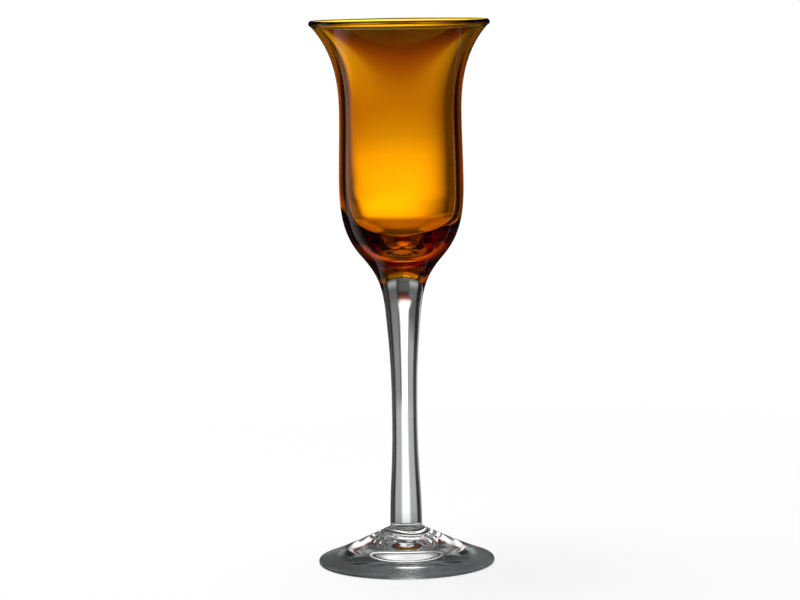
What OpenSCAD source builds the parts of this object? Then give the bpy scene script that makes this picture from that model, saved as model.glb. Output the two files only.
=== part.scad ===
// Cordial glass: a flared amber bowl on a drawn clear stem and a spread clear foot.
// The three gathers of glass are shaped apart and sealed to each other while hot.
// Lengths are in millimetres and slopes in degrees. The origin lies on the table, under the stem.

/* [Foot] */
// Diameter of the foot over its rounded edge
foot_d = 55.2; // [46:0.1:64]
// Height of the foot from the table to its crown round the stem
foot_h = 11.4; // [9.5:0.1:15]
// Thickness of the rounded edge
foot_edge_t = 1.9; // [1.4:0.1:2.6]
// Slope of the foot's top beside the edge
foot_edge_slope = 20; // [14:0.5:24]
// Slope of the foot's top beside the stem
foot_crown_slope = 25.5; // [20:0.5:32]
// Width of the flat ring that stands on the table
foot_ring_w = 2.4; // [1.5:0.1:4]
// Height of the hollow under the foot at its centre
foot_hollow_h = 4.3; // [3:0.1:5.2]
// Slope of the hollow beside the ring
foot_hollow_slope = 2; // [0:0.5:8]

/* [Stem] */
// Height of the stem from the foot's crown to its flare under the bowl
stem_h = 76.2; // [66:0.1:100]
// Diameter of the stem's spread end, on the foot
stem_base_d = 11; // [9.6:0.1:14]
// Diameter of the stem just above the spread end
stem_ankle_d = 10; // [8.6:0.1:11]
// Height of the spread end
stem_spread_h = 0.8; // [0.4:0.1:2]
// Diameter of the stem at its waist
stem_waist_d = 7.94; // [6:0.02:9.4]
// Height of the waist above the foot's crown
stem_waist_h = 33.6; // [24:0.1:42]
// Diameter of the stem where it starts to open under the bowl
stem_neck_d = 11; // [9.6:0.1:12.4]
// Height of that neck above the foot's crown
stem_neck_h = 67.6; // [56:0.1:70]
// Slope of the neck from upright
stem_neck_slope = 5.5; // [2:0.5:9]

/* [Cup] */
// Diameter of the stem where its flare under the bowl starts
flare_d = 14.1; // [12.8:0.1:17]
// Slope of the flare there, from upright
flare_slope = 17.5; // [10:0.5:26]
// Diameter of the flare where its curve reverses
under_d = 25.8; // [22:0.1:30]
// Height of that reversal above the flare's start
under_h = 9.5; // [8:0.1:12]
// Slope of the flare there, from upright
under_slope = 41; // [32:0.5:46]
// How far the cup reaches up from the reversal to the bowl's belly
cup_share = 0.3; // [0.2:0.05:0.4]
// Thickness of the cup's upper edge
cup_edge_t = 0.4; // [0.3:0.05:0.8]
// Turn of the cup's inside away from its outside at that edge
cup_turn = 14; // [8:1:20]

/* [Seals] */
// Depth by which the stem's lower end is set into the foot
stem_set_h = 1.2; // [0.7:0.1:2]
// Rounding of that end's corner
stem_end_round = 0.4; // [0.2:0.1:0.6]
// Width of the seal line between the pieces
seal_gap = 0.02; // [0.01:0.01:0.1]

/* [Bowl] */
// Height of the rim above the start of the flare under the bowl
bowl_h = 82.4; // [74:0.1:100]
// Diameter of the rim over the lip
rim_d = 56.1; // [50:0.1:66]
// Thickness of the round bead along the lip
lip_t = 1.9; // [1.6:0.1:2.4]
// Thickness of the wall just under the bead
lip_wall_t = 1.5; // [1:0.1:1.8]
// Distance from the middle of the bead down to where the wall starts to swell
lip_swell_l = 1.6; // [1.2:0.1:2.4]
// Turn by which the bead is drawn in at each side before it meets the wall
lip_turn = 20; // [10:1:30]
// Slope of the flare at the lip, from upright
lip_slope = 40; // [30:0.5:50]
// Diameter of the bowl at its waist
waist_d = 37.92; // [34:0.02:44]
// Height of the waist above the flare's start
waist_h = 54; // [46:0.1:62]
// Diameter of the bowl at its belly
belly_d = 38.7; // [34:0.1:46]
// Height of the belly above the flare's start
belly_h = 31.9; // [27:0.1:38]
// Thickness of the wall from the waist to the belly
wall_t = 2.2; // [1.6:0.1:3]
// Diameter of the hollow where its wall has turned in to a cone
cone_d = 26; // [23:0.1:27.4]
// Height of that cone above the flare's start
cone_h = 16.9; // [15.5:0.1:19]
// Slope of the cone there, from upright
cone_slope = 48; // [44:0.5:52]
// Height of the hollow's floor above the flare's start
floor_h = 10.8; // [10.2:0.1:12.5]
// Thickness of that floor over the middle of the cup
floor_t = 1.3; // [0.9:0.1:2.2]

/* [Hidden] */

// Facets of a full turn, and steps along each curve
$fn = 128;
curve_steps = 20;

// Directions in the profile plane, where x is the radius and y the height
OUT = 0;
UP = 90;
IN = 180;
DOWN = 270;

// How far each curve keeps its heading, as shares of the distance between its ends
even_share = 0.35;
foot_top_share = 0.33;
foot_hollow_shares = [0.6, 0.55];
stem_low_shares = [0.35, 0.45];
stem_high_share = 0.4;
belly_shares = [0.35, 0.4];
flare_shares = [0.395, 0.326];
flare_hollow_shares = [0.31, 0.42];
cone_shares = [0.4, 0.35];
floor_shares = [0.35, 0.5];
cup_shares = [0.4, 0.5];

// Radii
foot_r = foot_d / 2;
foot_edge_r = foot_edge_t / 2;
stem_base_r = stem_base_d / 2;
stem_ankle_r = stem_ankle_d / 2;
stem_waist_r = stem_waist_d / 2;
stem_neck_r = stem_neck_d / 2;
flare_r = flare_d / 2;
lip_r = lip_t / 2;
waist_r = waist_d / 2;
belly_r = belly_d / 2;
under_r = under_d / 2;
cone_r = cone_d / 2;

// Heights above the table
stem_z = foot_h;
flare_z = foot_h + stem_h;
rim_z = flare_z + bowl_h;
floor_z = flare_z + floor_h;

// Middle of the lip's bead, and the headings of the outer and inner wall there
lip_middle = [rim_d / 2 - lip_r, rim_z - lip_r];
lip_rise = UP - lip_slope;
lip_fall = lip_rise + IN;

// Headings from that middle to the bead's first and last point
lip_first = lip_rise - UP - lip_turn;
lip_last = lip_rise + UP + lip_turn;

// Step of a given length along a heading
function step(length, heading) = length * [cos(heading), sin(heading)];

// Cubic from a to b that leaves and arrives along the given headings
function bend(a, a_heading, b, b_heading, a_share = even_share, b_share = even_share) =
    let (
        reach = norm(b - a),
        p = a + step(reach * a_share, a_heading),
        q = b - step(reach * b_share, b_heading)
    )
    [
        for (i = [0 : curve_steps])
            let (t = i / curve_steps, u = 1 - t)
                u * u * u * a + 3 * u * u * t * p + 3 * u * t * t * q + t * t * t * b
    ];

// Arc round a middle, from one heading to another
function arc(middle, radius, from, to) =
    [for (i = [0 : curve_steps]) middle + step(radius, from + (to - from) * i / curve_steps)];

// Points without those that repeat the one before them
function joined(points) =
    [for (i = [0 : len(points) - 1]) if (i == 0 || norm(points[i] - points[max(i - 1, 0)]) > 0) points[i]];

// Curve of the outside from the reversal under the bowl up to the belly
shoulder =
    let (under = [under_r, flare_z + under_h], belly = [belly_r, flare_z + belly_h])
        bend(under, UP - under_slope, belly, UP, belly_shares[0], belly_shares[1]);

// Point of that curve at the cup's upper edge, and the headings of its outside and inside there
cup_step = round(cup_share * curve_steps);
cup_corner = shoulder[cup_step];
cup_chord = shoulder[cup_step + 1] - shoulder[cup_step - 1];
cup_rise = atan2(cup_chord.y, cup_chord.x);
cup_fall = cup_rise + IN - cup_turn;

// Outline between the bowl and the cup, from the outside to the axis, lowered by a gap
function cup_line(gap) =
    let (
        outer = cup_corner - step(gap, cup_rise),
        inner = outer + step(cup_edge_t, cup_rise + UP) + step(gap, cup_fall + UP)
    )
    concat(
        [outer],
        bend(inner, cup_fall, [0, floor_z - floor_t - gap], IN, cup_shares[0], cup_shares[1])
    );

// Outline between the stem and the foot, from the axis to the outside, grown by a gap
function set_line(gap) =
    let (
        corner_r = stem_end_round + gap,
        corner = [stem_base_r - stem_end_round, stem_z - stem_set_h + stem_end_round]
    )
    concat(
        [[0, stem_z - stem_set_h - gap]],
        arc(corner, corner_r, OUT - UP, OUT)
    );

// Points in the opposite order
function turned_round(points) = [for (i = [len(points) - 1 : -1 : 0]) points[i]];

// Middle of the wall where it starts to swell to the bead
swell = lip_middle - step(lip_swell_l, lip_rise);

// Outside of the bowl from the cup's edge up to the bead
bowl_outside =
    let (
        belly = [belly_r, flare_z + belly_h],
        waist = [waist_r, flare_z + waist_h],
        neck = swell + step(lip_wall_t / 2, lip_rise - UP),
        lip = lip_middle + step(lip_r, lip_first)
    )
    concat(
        [for (i = [cup_step : curve_steps]) shoulder[i]],
        bend(belly, UP, waist, UP),
        bend(waist, UP, neck, lip_rise, flare_shares[0], flare_shares[1]),
        bend(neck, lip_rise, lip, lip_first + UP)
    );

// Inside of the bowl from the bead down to the middle of its floor
bowl_inside =
    let (
        lip = lip_middle + step(lip_r, lip_last),
        neck = swell + step(lip_wall_t / 2, lip_rise + UP),
        waist = [waist_r - wall_t, flare_z + waist_h],
        belly = [belly_r - wall_t, flare_z + belly_h],
        cone = [cone_r, flare_z + cone_h]
    )
    concat(
        bend(lip, lip_last + UP, neck, lip_fall),
        bend(neck, lip_fall, waist, DOWN, flare_hollow_shares[0], flare_hollow_shares[1]),
        bend(waist, DOWN, belly, DOWN),
        bend(belly, DOWN, cone, DOWN - cone_slope, cone_shares[0], cone_shares[1]),
        bend(cone, DOWN - cone_slope, [0, floor_z], IN, floor_shares[0], floor_shares[1])
    );

// Outside of the stem from its spread end up to the cup's edge
stem_outside =
    let (
        base = [stem_base_r, stem_z],
        ankle = [stem_ankle_r, stem_z + stem_spread_h],
        waist = [stem_waist_r, stem_z + stem_waist_h],
        neck = [stem_neck_r, stem_z + stem_neck_h],
        flare = [flare_r, flare_z],
        under = [under_r, flare_z + under_h]
    )
    concat(
        bend(base, IN - foot_crown_slope, ankle, UP),
        bend(ankle, UP, waist, UP, stem_low_shares[0], stem_low_shares[1]),
        bend(waist, UP, neck, UP - stem_neck_slope, stem_high_share, stem_high_share),
        bend(neck, UP - stem_neck_slope, flare, UP - flare_slope),
        bend(flare, UP - flare_slope, under, UP - under_slope),
        [for (i = [1 : cup_step - 1]) shoulder[i]]
    );

// Top of the foot from its resting ring, round the edge and up to the stem
foot_top =
    let (
        edge_middle = [foot_r - foot_edge_r, foot_edge_r],
        edge_end = UP - foot_edge_slope,
        edge = edge_middle + step(foot_edge_r, edge_end),
        crown = [stem_base_r + seal_gap, stem_z]
    )
    concat(
        arc(edge_middle, foot_edge_r, OUT - UP, edge_end),
        bend(edge, IN - foot_edge_slope, crown, IN - foot_crown_slope, foot_top_share, foot_top_share)
    );

// Hollow under the foot from its middle out to the resting ring
foot_hollow =
    let (
        middle = [0, foot_hollow_h],
        ring = [foot_r - foot_edge_r - foot_ring_w, 0],
        ring_heading = OUT - foot_hollow_slope
    )
    bend(middle, OUT, ring, ring_heading, foot_hollow_shares[0], foot_hollow_shares[1]);

module turned(outline) {
    rotate_extrude()
        polygon(joined(outline));
}

module bowl() {
    lip = arc(lip_middle, lip_r, lip_first, lip_last);
    color("#c9820f")
        turned(concat(turned_round(cup_line(0)), bowl_outside, lip, bowl_inside));
}

module stem() {
    color("#d5d8d8")
        turned(concat(set_line(0), stem_outside, cup_line(seal_gap)));
}

module foot() {
    color("#c4c9c8")
        turned(concat(foot_hollow, foot_top, turned_round(set_line(seal_gap))));
}

bowl();
stem();
foot();
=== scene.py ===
"""Cordial glass: an amber flared bowl, a clear drawn stem and a clear spread foot on a white table.

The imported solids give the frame. Each piece is turned again here as a fine smooth mesh, so that light
bends through it as through fire-polished glass, and it stands for its solid at the same place and size.
"""

import logging
import math
from collections.abc import Callable, Mapping, Sequence
from dataclasses import dataclass, field
from enum import Enum

import bpy
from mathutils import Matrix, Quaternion, Vector

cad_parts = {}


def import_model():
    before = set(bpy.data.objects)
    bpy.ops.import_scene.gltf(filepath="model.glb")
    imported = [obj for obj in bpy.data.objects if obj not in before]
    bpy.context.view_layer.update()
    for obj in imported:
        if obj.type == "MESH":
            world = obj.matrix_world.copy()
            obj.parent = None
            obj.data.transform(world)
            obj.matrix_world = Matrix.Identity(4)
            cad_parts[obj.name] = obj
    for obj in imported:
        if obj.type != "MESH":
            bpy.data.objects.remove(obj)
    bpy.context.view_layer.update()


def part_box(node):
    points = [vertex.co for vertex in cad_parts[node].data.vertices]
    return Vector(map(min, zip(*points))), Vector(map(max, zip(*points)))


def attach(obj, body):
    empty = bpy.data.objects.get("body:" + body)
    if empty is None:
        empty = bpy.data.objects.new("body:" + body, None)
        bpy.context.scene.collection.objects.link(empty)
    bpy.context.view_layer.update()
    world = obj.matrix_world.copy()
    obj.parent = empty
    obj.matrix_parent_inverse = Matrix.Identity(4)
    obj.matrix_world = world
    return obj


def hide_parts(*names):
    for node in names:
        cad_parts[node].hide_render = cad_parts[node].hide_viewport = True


LOG = logging.getLogger("cordial_glass")

MM = 0.001
BODY = "root"

# Facets of a full turn, and steps along each curve of an outline
TURN_STEPS = 192
CURVE_STEPS = 28

# Steps along the foot's top, close enough for the ripples that the tool leaves
RIPPLE_STEPS = 110

# Points of an outline closer than this are one point, in millimetres
SAME_POINT_MM = 1e-6

# Corners sharper than this stay crisp, in degrees
CRISP_CORNER = 40.0

# How far a plain curve keeps its headings, as a share of the distance between its ends
EVEN_SHARE = 0.35

# Facets of a full turn of the studio's cards, and a full and a half turn in degrees
CARD_STEPS = 360
FULL_TURN = 360.0
HALF_TURN = 180.0

# Mesh attribute that marks the faces fused to the next piece
FUSED = "fused"

# Grain of the ground ring, drawn coarser than real grit so that it shows
GRIT_MM = 0.5

# Where in a noise, which runs from 0 to 1, smears and grit set in and are full
SMEAR_SPAN = (0.55, 0.8)
GRIT_SPAN = (0.3, 0.6)

# Roughness of the ground ring, and the share of its height up to which it is ground all over
GROUND_ROUGHNESS = 0.6
GROUND_SHARE = 0.6

# Drawing leaves lines that are fifty times as long as they are wide
DRAWN_OUT = (1.0, 1.0, 0.02)

Outline = list[Vector]

# Where a light or a form begins to rise, is full, begins to fall, and ends
Window = tuple[float, float, float, float]

# Rings of a card: for each stretch its first place, its spacing and its count
Rows = tuple[tuple[float, float, int], ...]

# Heights, each with a number for the left and one for the right
Pairs = tuple[tuple[float, tuple[float, float]], ...]

Light = tuple[float, float, float]
Painter = Callable[[float, float, float], Light]


class Heading(float, Enum):
    """Directions in an outline's plane, in degrees, where x is the radius and y the height."""

    OUT = 0.0
    UP = 90.0
    IN = 180.0
    DOWN = 270.0


class Glow(str, Enum):
    """Mesh attributes of a card, each for one kind of light.

    Through itself the glass sees THROUGH at any angle, and FLAT_ON or STEEP by the angle to the table.
    MIRRORED is what its gloss shows. SHADED is the share of the white table that the lamp lights.
    """

    THROUGH = "through"
    FLAT_ON = "flat_on"
    STEEP = "steep"
    MIRRORED = "mirrored"
    SHADED = "shaded"


class Slot(str, Enum):
    """Slot names for the two kinds of glass, amber and clear."""

    AMBER = "amber_glass"
    CLEAR = "clear_glass"


class Face(Enum):
    """Kinds of surface: outer skin, skin worked with a tool, a hollow's skin, or a fused seal."""

    SKIN = "skin"
    TOOLED = "tooled"
    HOLLOW = "hollow"
    SEAL = "seal"


Spans = list[tuple[Face, Outline]]

# Which rays see which light of a card
CARD_RAYS = ((Glow.THROUGH, "Is Transmission Ray"), (Glow.MIRRORED, "Is Glossy Ray"))


def linear(hex_colour: str) -> tuple[float, float, float, float]:
    """Turn an sRGB hex colour into linear light.

    Args:
        hex_colour: six hex digits after a hash sign.

    Returns:
        Red, green, blue and an alpha of one.
    """
    parts = [int(hex_colour[i : i + 2], 16) / 255 for i in (1, 3, 5)]
    return (*[p / 12.92 if p <= 0.04045 else ((p + 0.055) / 1.055) ** 2.4 for p in parts], 1.0)


def grey(level: float) -> Light:
    """Return light without colour.

    Args:
        level: how bright it is.

    Returns:
        Red, green and blue.
    """
    return level, level, level


def bare_tree(owner: bpy.types.Material | bpy.types.World) -> bpy.types.NodeTree:
    """Give a material or a world an empty node tree.

    Args:
        owner: the material or the world.

    Returns:
        Its tree, without nodes.
    """
    owner.use_nodes = True
    owner.node_tree.nodes.clear()
    return owner.node_tree


def add_node(
    tree: bpy.types.NodeTree,
    kind: str,
    settings: Mapping[str, object] | None = None,
    inputs: Mapping[str | int, object] | None = None,
) -> bpy.types.Node:
    """Add a node with its settings and links.

    Args:
        tree: the node tree to add it to.
        kind: the node's type name.
        settings: values of the node's own properties.
        inputs: for each input, by name or number, a plain value or the output socket that feeds it.

    Returns:
        The new node.
    """
    node = tree.nodes.new(kind)
    for name, value in (settings or {}).items():
        setattr(node, name, value)
    for name, value in (inputs or {}).items():
        if isinstance(value, bpy.types.NodeSocket):
            tree.links.new(value, node.inputs[name])
        else:
            node.inputs[name].default_value = value
    return node


def soft(value: float, start: float, stop: float) -> float:
    """Return how far a value has come, eased at both ends.

    Args:
        value: the value.
        start: where the way begins.
        stop: where it ends.

    Returns:
        From 0 at the start to 1 at the end.
    """
    t = min(max((value - start) / (stop - start), 0.0), 1.0)
    return t * t * (3 - 2 * t)


def window(value: float, edges: Window) -> float:
    """Return how far a value is inside a window with soft edges.

    Args:
        value: the value.
        edges: where the window begins to open, is open, begins to close, and is closed.

    Returns:
        From 0 outside to 1 inside.
    """
    start, full, fall, end = edges
    return soft(value, start, full) * (1 - soft(value, fall, end))


def between(stops: Sequence[tuple[float, Sequence[float]]], place: float) -> list[float]:
    """Read a row of stops at a place.

    Args:
        stops: rising places, each with its numbers.
        place: where to read.

    Returns:
        The numbers there, on a straight line between the two nearest stops.
    """
    low = max((s for s in stops if s[0] <= place), key=lambda s: s[0], default=stops[0])
    high = min((s for s in stops if s[0] > place), key=lambda s: s[0], default=low)
    t = (place - low[0]) / (high[0] - low[0]) if high[0] > low[0] else 0.0
    return [a + (b - a) * t for a, b in zip(low[1], high[1])]


def places_of(rows: Rows) -> list[float]:
    """Return the places of a card's rings.

    Args:
        rows: for each stretch its first place, its spacing and its count.

    Returns:
        The places in order.
    """
    return [first + spacing * i for first, spacing, count in rows for i in range(count)]


def step(length: float, heading: float) -> Vector:
    """Return a step in an outline's plane.

    Args:
        length: how long it is.
        heading: its direction in degrees.

    Returns:
        The step.
    """
    turn = math.radians(heading)
    return Vector((math.cos(turn), math.sin(turn))) * length


def bend(
    a: Vector,
    a_heading: float,
    b: Vector,
    b_heading: float,
    a_share: float = EVEN_SHARE,
    b_share: float = EVEN_SHARE,
    steps: int = CURVE_STEPS,
) -> Outline:
    """Draw a cubic curve that leaves one point and reaches another along given headings.

    Args:
        a: the first point.
        a_heading: the direction in which the curve leaves it.
        b: the last point.
        b_heading: the direction in which the curve arrives there.
        a_share: how far it keeps its first heading, as a share of the distance between the points.
        b_share: the same for its last heading.
        steps: how many steps the curve is drawn in.

    Returns:
        The curve's points, both ends included.
    """
    reach = (b - a).length
    p = a + step(reach * a_share, a_heading)
    q = b - step(reach * b_share, b_heading)
    points = []
    for i in range(steps + 1):
        t = i / steps
        u = 1 - t
        points.append(a * u**3 + p * (3 * u * u * t) + q * (3 * u * t * t) + b * t**3)
    return points


def arc(middle: Vector, radius: float, start: float, end: float) -> Outline:
    """Draw an arc.

    Args:
        middle: its centre.
        radius: its radius.
        start: the heading from the centre to its first point, in degrees.
        end: the heading to its last point.

    Returns:
        The arc's points, both ends included.
    """
    turns = [start + (end - start) * i / CURVE_STEPS for i in range(CURVE_STEPS + 1)]
    return [middle + step(radius, turn) for turn in turns]


@dataclass(frozen=True)
class BlownGlass:
    """Fire-polished glass that is coloured all through, or colourless.

    Heat from the furnace leaves the skin smooth and faintly wavy, so reflections run in soft, slightly
    bent lines. The colour sits in the body of the glass: it deepens where light goes a long way through
    it. Drawing leaves fine upright lines, and the ring that stands on a table is ground dull.
    """

    name: str
    slot: Slot
    ior: float
    passes_hex: str
    absorbs_per_m: float
    wave_mm: float
    wave_depth_mm: float
    line_mm: float = 1.0
    line_depth_mm: float = 0.0
    ground_h_mm: float = 0.0
    smear_mm: float = 9.0
    smear_roughness: float = 0.02

    def material(self) -> bpy.types.Material:
        """Build the glass with its body colour, its worked skin and its fused seals.

        Returns:
            The new material.
        """
        material = bpy.data.materials.new(self.name)
        tree = bare_tree(material)
        place = add_node(tree, "ShaderNodeTexCoord").outputs["Object"]
        shader = add_node(
            tree,
            "ShaderNodeBsdfPrincipled",
            {},
            {
                "Base Color": (1.0, 1.0, 1.0, 1.0),
                "Roughness": self.roughness(tree, place),
                "IOR": self.fused_ior(tree),
                "Transmission Weight": 1.0,
                "Normal": self.skin(tree, place),
            },
        )
        colour = linear(self.passes_hex)
        body = add_node(
            tree, "ShaderNodeVolumeAbsorption", {}, {"Color": colour, "Density": self.absorbs_per_m}
        )
        add_node(
            tree, "ShaderNodeOutputMaterial", {}, {"Surface": shader.outputs[0], "Volume": body.outputs[0]}
        )
        return material

    def fused_ior(self, tree: bpy.types.NodeTree) -> bpy.types.NodeSocket:
        """Let light pass a seal without a bend, because the two pieces are fused there.

        Args:
            tree: the material's node tree.

        Returns:
            The socket with the index of refraction.
        """
        fused = add_node(tree, "ShaderNodeAttribute", {"attribute_name": FUSED})
        index = add_node(
            tree,
            "ShaderNodeMath",
            {"operation": "MULTIPLY_ADD"},
            {0: fused.outputs["Fac"], 1: 1.0 - self.ior, 2: self.ior},
        )
        return index.outputs[0]

    def roughness(self, tree: bpy.types.NodeTree, place: bpy.types.NodeSocket) -> bpy.types.NodeSocket:
        """Leave faint smears of handling, which soften reflections in places, and dull the ground ring.

        Args:
            tree: the material's node tree.
            place: the place on the piece.

        Returns:
            The socket with the roughness.
        """
        scale = 1 / (self.smear_mm * MM)
        smear = add_node(tree, "ShaderNodeTexNoise", {}, {"Vector": place, "Scale": scale, "Detail": 3.0})
        low, high = SMEAR_SPAN
        faint = add_node(
            tree,
            "ShaderNodeMapRange",
            {},
            {"Value": smear.outputs[0], "From Min": low, "From Max": high, "To Max": self.smear_roughness},
        )
        if not self.ground_h_mm:
            return faint.outputs[0]
        scale = 1 / (GRIT_MM * MM)
        grit = add_node(tree, "ShaderNodeTexNoise", {}, {"Vector": place, "Scale": scale, "Detail": 2.0})
        low, high = GRIT_SPAN
        worn = add_node(
            tree,
            "ShaderNodeMapRange",
            {},
            {"Value": grit.outputs[0], "From Min": low, "From Max": high, "To Max": GROUND_ROUGHNESS},
        )
        axes = add_node(tree, "ShaderNodeSeparateXYZ", {}, {0: place})
        top = self.ground_h_mm * MM
        bottom = add_node(
            tree,
            "ShaderNodeMapRange",
            {},
            {
                "Value": axes.outputs["Z"],
                "From Min": GROUND_SHARE * top,
                "From Max": top,
                "To Min": 1.0,
                "To Max": 0.0,
            },
        )
        ground = add_node(
            tree, "ShaderNodeMath", {"operation": "MULTIPLY"}, {0: worn.outputs[0], 1: bottom.outputs[0]}
        )
        both = add_node(
            tree, "ShaderNodeMath", {"operation": "MAXIMUM"}, {0: faint.outputs[0], 1: ground.outputs[0]}
        )
        return both.outputs[0]

    def skin(self, tree: bpy.types.NodeTree, place: bpy.types.NodeSocket) -> bpy.types.NodeSocket:
        """Roll the skin in slow waves and upright draw lines, which bend light and reflections a little.

        Args:
            tree: the material's node tree.
            place: the place on the piece.

        Returns:
            The socket with the bent normal.
        """
        scale = 1 / (self.wave_mm * MM)
        depth = self.wave_depth_mm * MM
        wave = add_node(
            tree,
            "ShaderNodeTexNoise",
            {},
            {"Vector": place, "Scale": scale, "Detail": 1.0, "Roughness": 0.4},
        )
        height = add_node(tree, "ShaderNodeMath", {"operation": "MULTIPLY"}, {0: wave.outputs[0], 1: depth})
        if self.line_depth_mm:
            scale = 1 / (self.line_mm * MM)
            depth = self.line_depth_mm * MM
            drawn = add_node(
                tree, "ShaderNodeVectorMath", {"operation": "MULTIPLY"}, {0: place, 1: DRAWN_OUT}
            )
            lines = add_node(
                tree, "ShaderNodeTexNoise", {}, {"Vector": drawn.outputs[0], "Scale": scale, "Detail": 2.0}
            )
            height = add_node(
                tree,
                "ShaderNodeMath",
                {"operation": "MULTIPLY_ADD"},
                {0: lines.outputs[0], 1: depth, 2: height.outputs[0]},
            )
        bent = add_node(
            tree, "ShaderNodeBump", {}, {"Height": height.outputs[0], "Strength": 1.0, "Distance": 1.0}
        )
        return bent.outputs[0]


@dataclass(frozen=True)
class Wave:
    """A wave round a turned piece, whose crests may lean as they climb."""

    count: int
    start: float
    share: float = 1.0
    lean_per_mm: float = 0.0

    def at(self, turn: float, height: float) -> float:
        """Return the wave at a place.

        Args:
            turn: the angle round the axis in radians.
            height: the height in millimetres.

        Returns:
            From minus the wave's share to its share.
        """
        return self.share * math.sin(self.count * turn + self.start + self.lean_per_mm * height)


@dataclass(frozen=True)
class Handwork:
    """What turning by hand leaves: a slight oval, hollows that wander in their walls, and tool ripples."""

    oval_share: float = 0.003
    oval_turn: float = 0.7
    wander_mm: float = 0.1
    wander_z: float = 106.0
    wander_h: float = 11.0
    wander_full_r: float = 8.0
    wander_waves: tuple[Wave, ...] = (
        Wave(count=3, start=1.1, lean_per_mm=0.12),
        Wave(count=5, start=-2.0, share=0.6, lean_per_mm=-0.2),
    )
    ripple_mm: float = 0.08
    ripple_step_mm: float = 2.1
    ripple_r: Window = (5.5, 6.5, 8.0, 13.0)
    ripple_waves: tuple[Wave, ...] = (
        Wave(count=2, start=0.6, share=1.1),
        Wave(count=3, start=2.0, share=0.7),
    )

    def worked(self, point: Vector, turn: float, face: Face) -> Vector:
        """Return where a point of a perfect outline lies on the hand-made piece.

        Args:
            point: radius and height of the point in millimetres.
            turn: its angle round the axis in radians.
            face: the kind of surface it lies on.

        Returns:
            The point's radius and height.
        """
        radius = point.x * (1 - self.oval_share * math.sin(turn - self.oval_turn) ** 2)
        height = point.y
        if face is Face.HOLLOW:
            near = math.exp(-(((point.y - self.wander_z) / self.wander_h) ** 2))
            near *= min(point.x / self.wander_full_r, 1)
            radius += self.wander_mm * near * sum(wave.at(turn, point.y) for wave in self.wander_waves)
        if face is Face.TOOLED:
            wobble = sum(wave.at(turn, point.y) for wave in self.ripple_waves)
            ripple = math.sin(math.tau * point.x / self.ripple_step_mm + wobble)
            height += self.ripple_mm * window(point.x, self.ripple_r) * ripple
        return Vector((radius, height))


@dataclass
class TurnedPiece:
    """A piece of glass that is turned about the upright axis from a closed outline."""

    name: str
    node: str
    finish: BlownGlass
    handwork: Handwork

    def spans(self) -> Spans:
        """Draw the outline, from one end of the axis to the other.

        Returns:
            Its stretches in millimetres, each with its kind of surface.
        """
        raise NotImplementedError

    def rings(self) -> list[tuple[Face, Vector]]:
        """Join the outline's stretches.

        Returns:
            Its points without repeats, each with the surface that leads to it.
        """
        points: list[tuple[Face, Vector]] = []
        for face, line in self.spans():
            for point in line:
                if not points or (point - points[-1][1]).length > SAME_POINT_MM:
                    points.append((face, point))
        return points

    def mesh(self) -> bpy.types.Mesh:
        """Turn the outline into a closed smooth mesh.

        Returns:
            The mesh, with its seals marked as fused.
        """
        points = self.rings()
        corners = [(0.0, 0.0, points[0][1].y * MM)]
        for face, point in points[1:-1]:
            for i in range(TURN_STEPS):
                turn = math.tau * i / TURN_STEPS
                q = self.handwork.worked(point, turn, face) * MM
                corners.append((q.x * math.cos(turn), q.x * math.sin(turn), q.y))
        corners.append((0.0, 0.0, points[-1][1].y * MM))
        last = len(corners) - 1
        faces: list[tuple[int, ...]] = []
        fused: list[float] = []
        for k in range(len(points) - 1):
            seal = 1.0 if points[k + 1][0] is Face.SEAL else 0.0
            a, b = 1 + (k - 1) * TURN_STEPS, 1 + k * TURN_STEPS
            for i in range(TURN_STEPS):
                j = (i + 1) % TURN_STEPS
                if k == 0:
                    faces.append((0, b + j, b + i))
                elif k == len(points) - 2:
                    faces.append((a + i, a + j, last))
                else:
                    faces.append((a + i, a + j, b + j, b + i))
                fused.append(seal)
        mesh = bpy.data.meshes.new(self.name)
        mesh.from_pydata(corners, [], faces)
        mesh.attributes.new(FUSED, "FLOAT", "FACE").data.foreach_set("value", fused)
        mesh.polygons.foreach_set("use_smooth", [True] * len(mesh.polygons))
        mesh.set_sharp_from_angle(angle=math.radians(CRISP_CORNER))
        mesh.update()
        return mesh

    def build(self) -> None:
        """Build the piece, dress it and let it stand for its solid."""
        piece = bpy.data.objects.new(self.name, self.mesh())
        bpy.context.scene.collection.objects.link(piece)
        piece.data.materials.append(self.finish.material())
        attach(piece, BODY)
        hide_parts(self.node)
        faces = len(piece.data.polygons)
        LOG.info("%s stands for %s: %d faces, %s", self.name, self.node, faces, self.finish.name)


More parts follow.
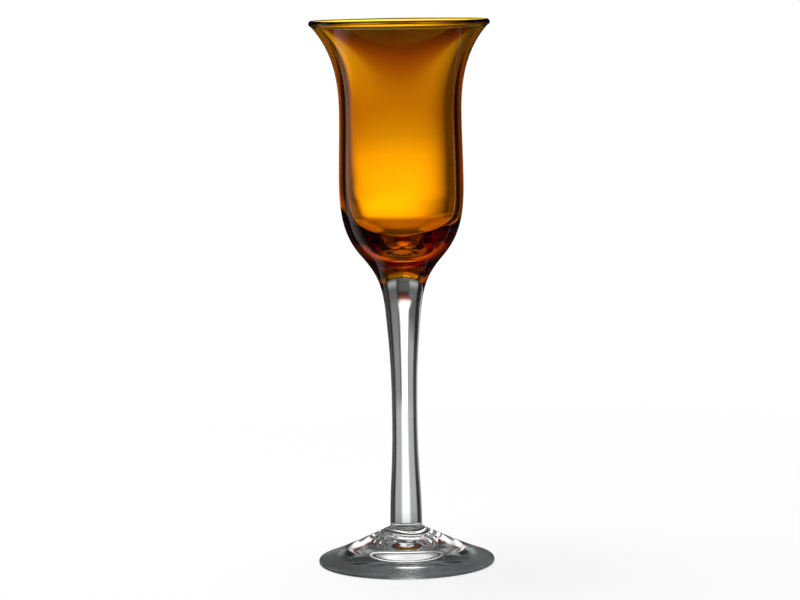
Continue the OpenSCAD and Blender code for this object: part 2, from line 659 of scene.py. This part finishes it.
@dataclass
class Seats:
    """Where the pieces meet, in millimetres. Sizes that the frame's boxes show are read from them."""

    foot_r: float = field(init=False)
    crown_z: float = field(init=False)
    flare_z: float = field(init=False)
    rim_r: float = field(init=False)
    rim_z: float = field(init=False)
    crown_slope: float = 25.5
    stem_base_r: float = 5.5
    stem_set_h: float = 1.2
    stem_end_round: float = 0.4
    stem_h: float = 76.2
    under_r: float = 12.9
    under_h: float = 9.5
    under_slope: float = 41.0
    belly_r: float = 19.35
    belly_h: float = 31.9
    belly_shares: tuple[float, float] = (0.35, 0.4)
    cup_share: float = 0.3
    cup_edge_t: float = 0.4
    cup_turn: float = 14.0
    cup_shares: tuple[float, float] = (0.4, 0.5)
    floor_h: float = 10.8
    floor_t: float = 1.3
    gap: float = 0.02

    def __post_init__(self) -> None:
        """Read the boxes of the solids."""
        _, foot_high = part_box("foot")
        _, bowl_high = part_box("bowl")
        self.foot_r = foot_high.x / MM
        self.crown_z = foot_high.z / MM
        self.flare_z = self.crown_z + self.stem_h
        self.rim_r = bowl_high.x / MM
        self.rim_z = bowl_high.z / MM

    def shoulder(self) -> tuple[Outline, Outline]:
        """Draw the outside from the reversal under the bowl to the belly.

        Returns:
            Its part on the stem's cup and its part on the bowl, which share the point at the cup's edge.
        """
        under = Vector((self.under_r, self.flare_z + self.under_h))
        belly = Vector((self.belly_r, self.flare_z + self.belly_h))
        line = bend(under, Heading.UP - self.under_slope, belly, Heading.UP, *self.belly_shares)
        edge = round(self.cup_share * CURVE_STEPS)
        return line[: edge + 1], line[edge:]

    def cup_line(self, gap: float) -> Outline:
        """Draw the seal between the bowl and the stem's cup.

        Args:
            gap: how far the line is lowered.

        Returns:
            Its points from the outside to the axis.
        """
        low, high = self.shoulder()
        chord = high[1] - low[-2]
        rise = math.degrees(math.atan2(chord.y, chord.x))
        fall = rise + Heading.IN - self.cup_turn
        outer = low[-1] - step(gap, rise)
        inner = outer + step(self.cup_edge_t, rise + Heading.UP) + step(gap, fall + Heading.UP)
        middle = Vector((0, self.flare_z + self.floor_h - self.floor_t - gap))
        return [outer, *bend(inner, fall, middle, Heading.IN, *self.cup_shares)]

    def set_line(self, gap: float) -> Outline:
        """Draw the seal between the stem's lower end and the foot.

        Args:
            gap: how far the line is grown.

        Returns:
            Its points from the axis to the outside.
        """
        low = self.crown_z - self.stem_set_h
        corner = Vector((self.stem_base_r - self.stem_end_round, low + self.stem_end_round))
        return [
            Vector((0, low - gap)),
            *arc(corner, self.stem_end_round + gap, Heading.OUT - Heading.UP, Heading.OUT),
            Vector((self.stem_base_r + gap, self.crown_z)),
        ]


@dataclass
class Bowl(TurnedPiece):
    """The amber bowl: a round bottom in the stem's cup, a belly, a waist and a flare to a beaded lip."""

    seats: Seats
    waist_r: float = 18.96
    waist_h: float = 54.0
    lip_t: float = 1.9
    lip_wall_t: float = 1.5
    lip_swell_l: float = 1.6
    lip_turn: float = 20.0
    lip_slope: float = 40.0
    flare_shares: tuple[float, float] = (0.395, 0.326)
    flare_hollow_shares: tuple[float, float] = (0.31, 0.42)
    wall_t: float = 2.2
    cone_r: float = 13.0
    cone_h: float = 16.9
    cone_slope: float = 48.0
    cone_shares: tuple[float, float] = (0.4, 0.35)
    floor_shares: tuple[float, float] = (0.35, 0.5)

    def spans(self) -> Spans:
        """Draw the seal, the outside with the lip, and the inside.

        Returns:
            The three stretches in that order.
        """
        s = self.seats
        lip_r = self.lip_t / 2
        middle = Vector((s.rim_r - lip_r, s.rim_z - lip_r))
        rise = Heading.UP - self.lip_slope
        fall = rise + Heading.IN
        first = rise - Heading.UP - self.lip_turn
        last = rise + Heading.UP + self.lip_turn
        swell = middle - step(self.lip_swell_l, rise)
        neck_out = swell + step(self.lip_wall_t / 2, rise - Heading.UP)
        neck_in = swell + step(self.lip_wall_t / 2, rise + Heading.UP)
        belly = Vector((s.belly_r, s.flare_z + s.belly_h))
        waist = Vector((self.waist_r, s.flare_z + self.waist_h))
        wall = Vector((self.wall_t, 0))
        cone = Vector((self.cone_r, s.flare_z + self.cone_h))
        cone_fall = Heading.DOWN - self.cone_slope
        floor = Vector((0, s.flare_z + s.floor_h))
        outside = [
            *s.shoulder()[1],
            *bend(belly, Heading.UP, waist, Heading.UP),
            *bend(waist, Heading.UP, neck_out, rise, *self.flare_shares),
            *bend(neck_out, rise, middle + step(lip_r, first), first + Heading.UP),
            *arc(middle, lip_r, first, last),
        ]
        inside = [
            *bend(middle + step(lip_r, last), last + Heading.UP, neck_in, fall),
            *bend(neck_in, fall, waist - wall, Heading.DOWN, *self.flare_hollow_shares),
            *bend(waist - wall, Heading.DOWN, belly - wall, Heading.DOWN),
            *bend(belly - wall, Heading.DOWN, cone, cone_fall, *self.cone_shares),
            *bend(cone, cone_fall, floor, Heading.IN, *self.floor_shares),
        ]
        return [(Face.SEAL, s.cup_line(0.0)[::-1]), (Face.SKIN, outside), (Face.HOLLOW, inside)]


@dataclass
class Stem(TurnedPiece):
    """The clear stem: a cup under the bowl, a slender waist and a spread end set into the foot."""

    seats: Seats
    ankle_r: float = 5.0
    spread_h: float = 0.8
    waist_r: float = 3.97
    waist_h: float = 33.6
    low_shares: tuple[float, float] = (0.35, 0.45)
    neck_r: float = 5.5
    neck_h: float = 67.6
    neck_slope: float = 5.5
    high_share: float = 0.4
    flare_r: float = 7.05
    flare_slope: float = 17.5

    def spans(self) -> Spans:
        """Draw the set end, the outside and the cup.

        Returns:
            The three stretches in that order.
        """
        s = self.seats
        base = Vector((s.stem_base_r, s.crown_z))
        ankle = Vector((self.ankle_r, s.crown_z + self.spread_h))
        waist = Vector((self.waist_r, s.crown_z + self.waist_h))
        neck = Vector((self.neck_r, s.crown_z + self.neck_h))
        flare = Vector((self.flare_r, s.flare_z))
        under = Vector((s.under_r, s.flare_z + s.under_h))
        neck_rise = Heading.UP - self.neck_slope
        flare_rise = Heading.UP - self.flare_slope
        cup = s.cup_line(s.gap)
        outside = [
            *bend(base, Heading.IN - s.crown_slope, ankle, Heading.UP),
            *bend(ankle, Heading.UP, waist, Heading.UP, *self.low_shares),
            *bend(waist, Heading.UP, neck, neck_rise, self.high_share, self.high_share),
            *bend(neck, neck_rise, flare, flare_rise),
            *bend(flare, flare_rise, under, Heading.UP - s.under_slope),
            *s.shoulder()[0][:-1],
            cup[0],
        ]
        return [(Face.SEAL, s.set_line(0.0)), (Face.SKIN, outside), (Face.SEAL, cup)]


@dataclass
class Foot(TurnedPiece):
    """The clear foot: a low cone with a thin round edge and a hollow underneath."""

    seats: Seats
    edge_t: float = 1.9
    edge_slope: float = 20.0
    ring_w: float = 2.4
    hollow_h: float = 4.3
    hollow_slope: float = 2.0
    hollow_shares: tuple[float, float] = (0.6, 0.55)
    top_share: float = 0.33

    def spans(self) -> Spans:
        """Draw the underside with its resting ring and the edge, the top, and the seal.

        Returns:
            The three stretches in that order.
        """
        s = self.seats
        edge_r = self.edge_t / 2
        middle = Vector((s.foot_r - edge_r, edge_r))
        edge_end = Heading.UP - self.edge_slope
        edge = middle + step(edge_r, edge_end)
        crown = Vector((s.stem_base_r + s.gap, s.crown_z))
        ring = Vector((s.foot_r - edge_r - self.ring_w, 0))
        peak = Vector((0, self.hollow_h))
        under = [
            *bend(peak, Heading.OUT, ring, Heading.OUT - self.hollow_slope, *self.hollow_shares),
            *arc(middle, edge_r, Heading.OUT - Heading.UP, edge_end),
        ]
        ends = (edge, Heading.IN - self.edge_slope, crown, Heading.IN - s.crown_slope)
        top = bend(*ends, self.top_share, self.top_share, RIPPLE_STEPS)
        return [(Face.SKIN, under), (Face.TOOLED, top), (Face.SEAL, s.set_line(s.gap)[::-1])]


def turned_card(
    name: str, profile: Sequence[tuple[float, float]], painters: Mapping[Glow, Painter]
) -> bpy.types.Object:
    """Turn a profile about the glass into a card that holds its light at its corners.

    Args:
        name: the object's name.
        profile: radius and height of its rings in metres.
        painters: for each attribute, what gives its light by angle, radius and height.

    Returns:
        The new object.
    """
    turns = [FULL_TURN * i / CARD_STEPS - HALF_TURN for i in range(CARD_STEPS)]
    places = [(beta, radius, z) for radius, z in profile for beta in turns]
    corners = [(r * math.sin(math.radians(b)), r * math.cos(math.radians(b)), z) for b, r, z in places]
    faces = []
    for k in range(len(profile) - 1):
        a, b = k * CARD_STEPS, (k + 1) * CARD_STEPS
        for i in range(CARD_STEPS):
            j = (i + 1) % CARD_STEPS
            faces.append((a + i, b + i, b + j, a + j))
    mesh = bpy.data.meshes.new(name)
    mesh.from_pydata(corners, [], faces)
    for glow, painter in painters.items():
        colours = [part for place in places for part in (*painter(*place), 1.0)]
        attribute = mesh.color_attributes.new(glow.value, "FLOAT_COLOR", "POINT")
        attribute.data.foreach_set("color", colours)
    card = bpy.data.objects.new(name, mesh)
    bpy.context.scene.collection.objects.link(card)
    return card


@dataclass(frozen=True)
class Camera:
    """The camera, a little above the rim and looking slightly down."""

    eye_mm: tuple[float, float, float] = (0.0, -932.0, 189.5)
    aim_mm: tuple[float, float, float] = (-0.945, 0.0, 83.04)
    lens_mm: float = 135.55
    sensor_mm: float = 36.0
    roll_deg: float = -0.851

    def build(self) -> None:
        """Place the camera at the photograph's viewing angle."""
        data = bpy.data.cameras.new("camera")
        data.lens = self.lens_mm
        data.sensor_width = self.sensor_mm
        camera = bpy.data.objects.new("camera", data)
        camera.location = Vector(self.eye_mm) * MM
        aim = (Vector(self.aim_mm) - Vector(self.eye_mm)).to_track_quat("-Z", "Y")
        camera.rotation_mode = "QUATERNION"
        camera.rotation_quaternion = aim @ Quaternion((0, 0, 1), math.radians(self.roll_deg))
        bpy.context.scene.collection.objects.link(camera)
        bpy.context.scene.camera = camera


@dataclass(frozen=True)
class LightWall:
    """A wall of light round the glass, which only the glass sees.

    Angles are in degrees from straight behind the glass, to the right as the camera sees it. Heights at
    which a light is given are in millimetres, and the wall's own lengths in metres, as in the frame.
    """

    radius: float = 0.5
    height: float = 0.45
    rows: Rows = ((0.005, 0.005, 36), (0.2, 0.01, 20))

    # Straight behind: a bright patch that widens upward, and fades from white through a warm dusk to grey
    hot_level: float = 2.5
    patch_soft: tuple[float, float] = (5.0, 6.0)
    patch_edges: Pairs = (
        (30.0, (-9.0, 5.0)),
        (60.0, (-9.5, 5.0)),
        (77.0, (-10.0, 6.5)),
        (98.0, (-15.0, 8.5)),
        (115.0, (-18.0, 8.5)),
    )
    fade: tuple[tuple[float, str], ...] = (
        (60.0, "#ffffff"),
        (79.0, "#f4f4f4"),
        (87.0, "#e4e4e4"),
        (94.0, "#d6d6d6"),
        (98.0, "#cacaca"),
        (103.0, "#b4b3b3"),
        (107.0, "#a9a8a6"),
        (112.0, "#a39c98"),
        (115.0, "#9f958d"),
        (117.0, "#93807a"),
        (119.0, "#846760"),
        (123.0, "#704a44"),
        (128.0, "#5f3833"),
        (134.0, "#4f2826"),
        (142.0, "#3c1a1a"),
        (152.0, "#321616"),
        (166.0, "#301818"),
        (182.0, "#353535"),
    )

    # Beside the patch: dim wings, and nearly dark between them and the sides
    dark_level: float = 0.006
    wing_turn: Window = (8.0, 14.0, 27.0, 35.0)
    wings: Pairs = (
        (45.0, (0.36, 0.24)),
        (70.0, (0.12, 0.2)),
        (119.0, (0.1, 0.16)),
        (135.0, (0.14, 0.12)),
        (200.0, (0.14, 0.12)),
        (280.0, (0.42, 0.38)),
        (330.0, (0.36, 0.34)),
        (400.0, (0.1, 0.1)),
    )

    # Left and right side: their levels, where each sets in and is full, and how they fade upward
    sides: tuple[float, float] = (0.5, 0.34)
    side_turns: tuple[tuple[float, tuple[float, float, float, float]], ...] = (
        (60.0, (62.0, 92.0, 60.0, 100.0)),
        (95.0, (38.0, 85.0, 50.0, 100.0)),
    )
    side_fade: tuple[tuple[float, tuple[float]], ...] = ((119.0, (1.0,)), (150.0, (0.5,)), (250.0, (0.3,)))

    # Reflections: a wide panel on the left, a narrow strip on the right by its middle and both reaches,
    # and the levels of the panel, the strip and the rest
    panel_turn: Window = (55.0, 58.0, 62.0, 92.0)
    strip_turn: tuple[float, float, float] = (64.0, 0.5, 2.5)
    mirror_levels: tuple[float, float, float] = (0.55, 0.3, 0.01)

    def side(self, beta: float, z_mm: float) -> float:
        """Return the light at both sides, before it fades upward.

        Args:
            beta: the angle from straight behind.
            z_mm: the height on the wall, or zero on the table.

        Returns:
            Its level.
        """
        left_in, left_full, right_in, right_full = between(self.side_turns, z_mm)
        left, right = self.sides
        return left * soft(-beta, left_in, left_full) + right * soft(beta, right_in, right_full)

    def behind(self, beta: float, z_mm: float) -> Light:
        """Return the light that the wall sends through the glass.

        Args:
            beta: the angle from straight behind.
            z_mm: the height on the wall.

        Returns:
            Red, green and blue.
        """
        left, right = between(self.patch_edges, z_mm)
        left_soft, right_soft = self.patch_soft
        edges = (left - left_soft, left + left_soft, right - right_soft, right + right_soft)
        patch = self.hot_level * window(beta, edges)
        wing = between(self.wings, z_mm)[0 if beta < 0 else 1] * window(abs(beta), self.wing_turn)
        side = self.side(beta, z_mm) * between(self.side_fade, z_mm)[0]
        floor = max(side, wing, self.dark_level)
        tints = between([(z, linear(colour)[:3]) for z, colour in self.fade], z_mm)
        red, green, blue = (max(patch * tint, floor) for tint in tints)
        return red, green, blue

    def mirrored(self, beta: float, levels: Sequence[float]) -> Light:
        """Return the light that the glass mirrors.

        Args:
            beta: the angle from straight behind.
            levels: how bright the panel, the strip and the rest are.

        Returns:
            Red, green and blue.
        """
        panel, strip, rest = levels
        middle, inner, outer = self.strip_turn
        narrow = 1 - soft(abs(beta - middle), inner, outer)
        return grey(max(panel * window(-beta, self.panel_turn), strip * narrow, rest))

    def build(self, base_z: float) -> bpy.types.Object:
        """Stand the wall on the table.

        Args:
            base_z: the height of the table.

        Returns:
            The new object.
        """
        return turned_card(
            "light_wall",
            [(self.radius, z) for z in (base_z, *places_of(self.rows), self.height)],
            {
                Glow.THROUGH: lambda beta, radius, z: self.behind(beta, z / MM),
                Glow.MIRRORED: lambda beta, radius, z: self.mirrored(beta, self.mirror_levels),
            },
        )


@dataclass(frozen=True)
class LightRoof:
    """A round card of light over the glass: even as a reflection, lit on its left as seen through it."""

    radius: float = 0.6
    height: float = 0.9
    mirror_level: float = 0.35
    lit_level: float = 0.7
    dark_level: float = 0.006
    edge: tuple[float, float] = (0.0, 0.04)

    def overhead(self, beta: float) -> Light:
        """Return the light that the roof sends through the glass.

        Args:
            beta: the angle from straight behind.

        Returns:
            Red, green and blue.
        """
        left = soft(-math.sin(math.radians(beta)), *self.edge)
        return grey(max(self.lit_level * left, self.dark_level))

    def build(self) -> bpy.types.Object:
        """Hang the roof over the glass.

        Returns:
            The new object.
        """
        return turned_card(
            "light_roof",
            [(0.0, self.height), (self.radius, self.height)],
            {
                Glow.THROUGH: lambda beta, radius, z: self.overhead(beta),
                Glow.MIRRORED: lambda beta, radius, z: grey(self.mirror_level),
            },
        )


@dataclass(frozen=True)
class Table:
    """A white table, a hair below the glass. Lengths are in metres, and angles as on the wall."""

    wall: LightWall
    radius: float = 4.0
    height: float = -0.00002
    rows: Rows = ((0.0, 0.003, 13), (0.04, 0.02, 24))
    far_r: tuple[float, float] = (0.6, 0.9)

    # At any angle: painted light, white under the foot's middle, and a pale ring that is brighter to both
    # sides
    under_level: float = 0.9
    under_r: tuple[float, float] = (0.009, 0.016)
    ring_level: float = 0.3
    ring_low: float = 0.04
    ring_r: tuple[float, float] = (0.02, 0.06)
    ring_turn: Window = (8.0, 20.0, 60.0, 100.0)

    # Seen flat on: a painted reflection, a bright core straight behind and the wall's light farther off
    facing: tuple[float, float] = (0.47, 0.72)
    facing_low: float = 0.14
    painted_wall_light_r: tuple[float, float] = (0.03, 0.09)
    painted_reflection_turn: tuple[float, float] = (62.0, 92.0)
    core_level: float = 1.15
    core_low: float = 0.36
    core_turn: tuple[float, float] = (6.0, 13.0)
    core_r: tuple[float, float] = (0.3, 0.42)

    # Seen steeply: two fields of painted light beside the middle
    steep_level: float = 1.2
    steep_turn: Window = (5.0, 11.0, 24.0, 34.0)
    steep_r: Window = (0.07, 0.1, 0.21, 0.27)

    # Painted light that the glass mirrors: the levels of the panel, the strip and the rest
    mirror_levels: tuple[float, float, float] = (0.5, 0.35, 0.015)

    # Near the glass a share of the white is left to the lamp, so that the shadow shows
    shade_share: float = 0.2
    shade_r: tuple[float, float] = (0.12, 0.4)

    def plain(self, beta: float, radius: float) -> Light:
        """Return the light that the glass sees at any angle, under the foot and to the sides.

        Args:
            beta: the angle from straight behind.
            radius: the distance from the glass.

        Returns:
            Red, green and blue.
        """
        ring = self.ring_low + (self.ring_level - self.ring_low) * window(abs(beta), self.ring_turn)
        ring *= 1 - soft(radius, *self.ring_r)
        under = self.under_level * (1 - soft(radius, *self.under_r))
        # Painted light on the table: under the foot, in a ring round it, and the wall's side light farther
        # off
        return grey(max(under, ring, self.wall.side(beta, 0.0) * soft(radius, *self.painted_wall_light_r)))

    def flat_on(self, beta: float, radius: float) -> Light:
        """Return the painted reflection of the wall that the glass sees on the table when it looks flat on
        it.

        Args:
            beta: the angle from straight behind.
            radius: the distance from the glass.

        Returns:
            Red, green and blue.
        """
        away = abs(beta)
        near = self.core_level * (1 - (1 - self.core_low) * soft(away, *self.core_turn))
        near *= 1 - soft(away, *self.wall.wing_turn[2:])
        far = soft(radius, *self.core_r)
        shown = soft(radius, *self.painted_wall_light_r) * (1 - soft(away, *self.painted_reflection_turn))
        mixed = (near + (level - near) * far for level in self.wall.behind(beta, 0.0))
        red, green, blue = (shown * max(level, self.wall.dark_level) for level in mixed)
        return red, green, blue

    def steep(self, beta: float, radius: float) -> Light:
        """Return the light of the two bright fields, which the glass sees when it looks down on them.

        Args:
            beta: the angle from straight behind.
            radius: the distance from the glass.

        Returns:
            Red, green and blue.
        """
        return grey(self.steep_level * window(abs(beta), self.steep_turn) * window(radius, self.steep_r))

    def shade(self, radius: float) -> Light:
        """Return the share of the white that is left to the lamp.

        Args:
            radius: the distance from the glass.

        Returns:
            The share, as a grey.
        """
        return grey(self.shade_share * (1 - soft(radius, *self.shade_r)))

    def laminate(self) -> bpy.types.Material:
        """Make the laminate: white to the camera but for the shadow, with painted light and a painted
        reflection for the glass.

        Returns:
            The new material.
        """
        # The eye gets a plain white ground with a soft shadow, and painted light in paler and darker fields
        # in the glass
        material = bpy.data.materials.new("white laminate table")
        tree = bare_tree(material)
        path = add_node(tree, "ShaderNodeLightPath").outputs
        bent = path["Is Transmission Ray"]
        glows = {}
        for glow in Glow:
            held = add_node(tree, "ShaderNodeAttribute", {"attribute_name": glow.value})
            glows[glow] = held.outputs["Color"]
        # Painted reflection: the nearer a ray comes to lying flat on the table, the more of the bright
        # wall's light is painted on it
        facing = add_node(tree, "ShaderNodeLayerWeight").outputs["Facing"]
        low, high = self.facing
        gloss = add_node(
            tree,
            "ShaderNodeMapRange",
            {"interpolation_type": "SMOOTHSTEP"},
            {"Value": facing, "From Min": low, "From Max": high, "To Min": self.facing_low},
        )
        flat = add_node(tree, "ShaderNodeMath", {"operation": "MULTIPLY"}, {0: gloss.outputs[0], 1: bent})
        down = add_node(tree, "ShaderNodeMath", {"operation": "SUBTRACT"}, {0: bent, 1: flat.outputs[0]})
        # The camera sees white, of which a share near the glass is lit by the lamp
        shaded = glows[Glow.SHADED]
        rest = add_node(tree, "ShaderNodeMath", {"operation": "SUBTRACT"}, {0: 1.0, 1: shaded})
        white = add_node(tree, "ShaderNodeEmission", {}, {"Strength": rest.outputs[0]})
        paint = add_node(tree, "ShaderNodeBsdfDiffuse", {}, {"Color": shaded})
        total = add_node(tree, "ShaderNodeAddShader", {}, {0: white.outputs[0], 1: paint.outputs[0]})
        lit = add_node(tree, "ShaderNodeMixShader", {}, {0: path["Is Camera Ray"], 2: total.outputs[0]})
        strengths = {
            Glow.THROUGH: bent,
            Glow.FLAT_ON: flat.outputs[0],
            Glow.STEEP: down.outputs[0],
            Glow.MIRRORED: path["Is Glossy Ray"],
        }
        for glow, strength in strengths.items():
            shine = add_node(tree, "ShaderNodeEmission", {}, {"Color": glows[glow], "Strength": strength})
            lit = add_node(tree, "ShaderNodeAddShader", {}, {0: lit.outputs[0], 1: shine.outputs[0]})
        add_node(tree, "ShaderNodeOutputMaterial", {}, {"Surface": lit.outputs[0]})
        return material

    def build(self) -> None:
        """Lay the table under the glass."""
        table = turned_card(
            "table",
            [(r, self.height) for r in (*places_of(self.rows), *self.far_r, self.radius)],
            {
                Glow.THROUGH: lambda beta, radius, z: self.plain(beta, radius),
                Glow.FLAT_ON: lambda beta, radius, z: self.flat_on(beta, radius),
                Glow.STEEP: lambda beta, radius, z: self.steep(beta, radius),
                Glow.MIRRORED: lambda beta, radius, z: self.wall.mirrored(beta, self.mirror_levels),
                Glow.SHADED: lambda beta, radius, z: self.shade(radius),
            },
        )
        table.data.materials.append(self.laminate())


@dataclass(frozen=True)
class Lamp:
    """A wide soft lamp over the table for the shadow. Lengths are in metres."""

    size: float = 0.6
    watts: float = 9.0
    place: tuple[float, float, float] = (-0.15, 0.1, 0.9)

    def build(self) -> None:
        """Hang the lamp and aim it at the foot."""
        data = bpy.data.lights.new("overhead", "AREA")
        data.shape = "DISK"
        data.size = self.size
        data.energy = self.watts
        lamp = bpy.data.objects.new("overhead", data)
        lamp.location = self.place
        lamp.visible_glossy = False
        lamp.visible_transmission = False
        lamp.rotation_euler = (-Vector(self.place)).to_track_quat("-Z", "Y").to_euler()
        bpy.context.scene.collection.objects.link(lamp)


@dataclass(frozen=True)
class Studio:
    """A white table with cards of light round the glass, a soft lamp, a white world and the camera."""

    camera: Camera = Camera()
    wall: LightWall = LightWall()
    roof: LightRoof = LightRoof()
    lamp: Lamp = Lamp()
    world_level: float = 0.01
    bounces: int = 40
    glossy_bounces: int = 24

    def lit_card(self) -> bpy.types.Material:
        """Make white card that is lit from behind.

        Returns:
            The new material.
        """
        # The eye gets the bright and dark fields that the glass bends, and the panels in its gloss
        material = bpy.data.materials.new("lit white card")
        tree = bare_tree(material)
        path = add_node(tree, "ShaderNodeLightPath").outputs
        lights = {}
        for i, (glow, ray) in enumerate(CARD_RAYS):
            held = add_node(tree, "ShaderNodeAttribute", {"attribute_name": glow.value}).outputs["Color"]
            light = add_node(tree, "ShaderNodeEmission", {}, {"Color": held, "Strength": path[ray]})
            lights[i] = light.outputs[0]
        both = add_node(tree, "ShaderNodeAddShader", {}, lights)
        add_node(tree, "ShaderNodeOutputMaterial", {}, {"Surface": both.outputs[0]})
        return material

    def cards(self, base_z: float) -> None:
        """Put up the cards of light, which only the glass sees.

        Args:
            base_z: the height of the table.
        """
        cards = (self.wall.build(base_z), self.roof.build())
        material = self.lit_card()
        for card in cards:
            card.data.materials.append(material)
            card.visible_camera = False
            card.visible_diffuse = False
            card.visible_shadow = False

    def world(self) -> None:
        """Make the world white to the camera and dim to everything else."""
        world = bpy.data.worlds.new("studio")
        bpy.context.scene.world = world
        tree = bare_tree(world)
        seen = add_node(tree, "ShaderNodeLightPath").outputs["Is Camera Ray"]
        level = add_node(tree, "ShaderNodeMapRange", {}, {"Value": seen, "To Min": self.world_level})
        sky = add_node(
            tree, "ShaderNodeBackground", {}, {"Color": linear("#ffffff"), "Strength": level.outputs[0]}
        )
        add_node(tree, "ShaderNodeOutputWorld", {}, {"Surface": sky.outputs[0]})

    def build(self) -> None:
        """Set up the studio, with the many bounces that light needs in nested glass."""
        scene = bpy.context.scene
        scene.view_settings.view_transform = "Standard"
        scene.cycles.max_bounces = self.bounces
        scene.cycles.transmission_bounces = self.bounces
        scene.cycles.glossy_bounces = self.glossy_bounces
        self.camera.build()
        table = Table(self.wall)
        table.build()
        self.cards(table.height)
        self.lamp.build()
        self.world()


# The eye gets honey: the glass takes blue at once and green by and by, so thin walls are gold and thick
# ones go through orange to red brown
AMBER_GLASS = BlownGlass(
    name="amber crystal, blown and fire polished",
    slot=Slot.AMBER,
    ior=1.5,
    passes_hex="#faea00",
    absorbs_per_m=1700.0,
    wave_mm=14.0,
    wave_depth_mm=0.02,
)

# The eye gets water-clear glass with a breath of sea green in its depth, and light in fine streaks
STEM_GLASS = BlownGlass(
    name="colourless crystal, drawn and fire polished",
    slot=Slot.CLEAR,
    ior=1.5,
    passes_hex="#a6f0ea",
    absorbs_per_m=3.0,
    wave_mm=10.0,
    wave_depth_mm=0.01,
    line_mm=1.4,
    line_depth_mm=0.006,
)

# The eye gets the same clear glass with deeper waves, and a dull grey line where the foot is ground
FOOT_GLASS = BlownGlass(
    name="colourless crystal, spread with a tool and fire polished",
    slot=Slot.CLEAR,
    ior=1.5,
    passes_hex="#a6f0ea",
    absorbs_per_m=3.0,
    wave_mm=10.0,
    wave_depth_mm=0.02,
    ground_h_mm=0.3,
)


def main() -> None:
    """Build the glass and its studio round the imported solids."""
    logging.basicConfig(level=logging.INFO, format="%(name)s: %(message)s")
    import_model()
    seats = Seats()
    handwork = Handwork()
    Bowl("amber_bowl", "bowl", AMBER_GLASS, handwork, seats).build()
    Stem("drawn_stem", "stem", STEM_GLASS, handwork, seats).build()
    Foot("spread_foot", "foot", FOOT_GLASS, handwork, seats).build()
    Studio().build()


if __name__ == "__main__":
    main()
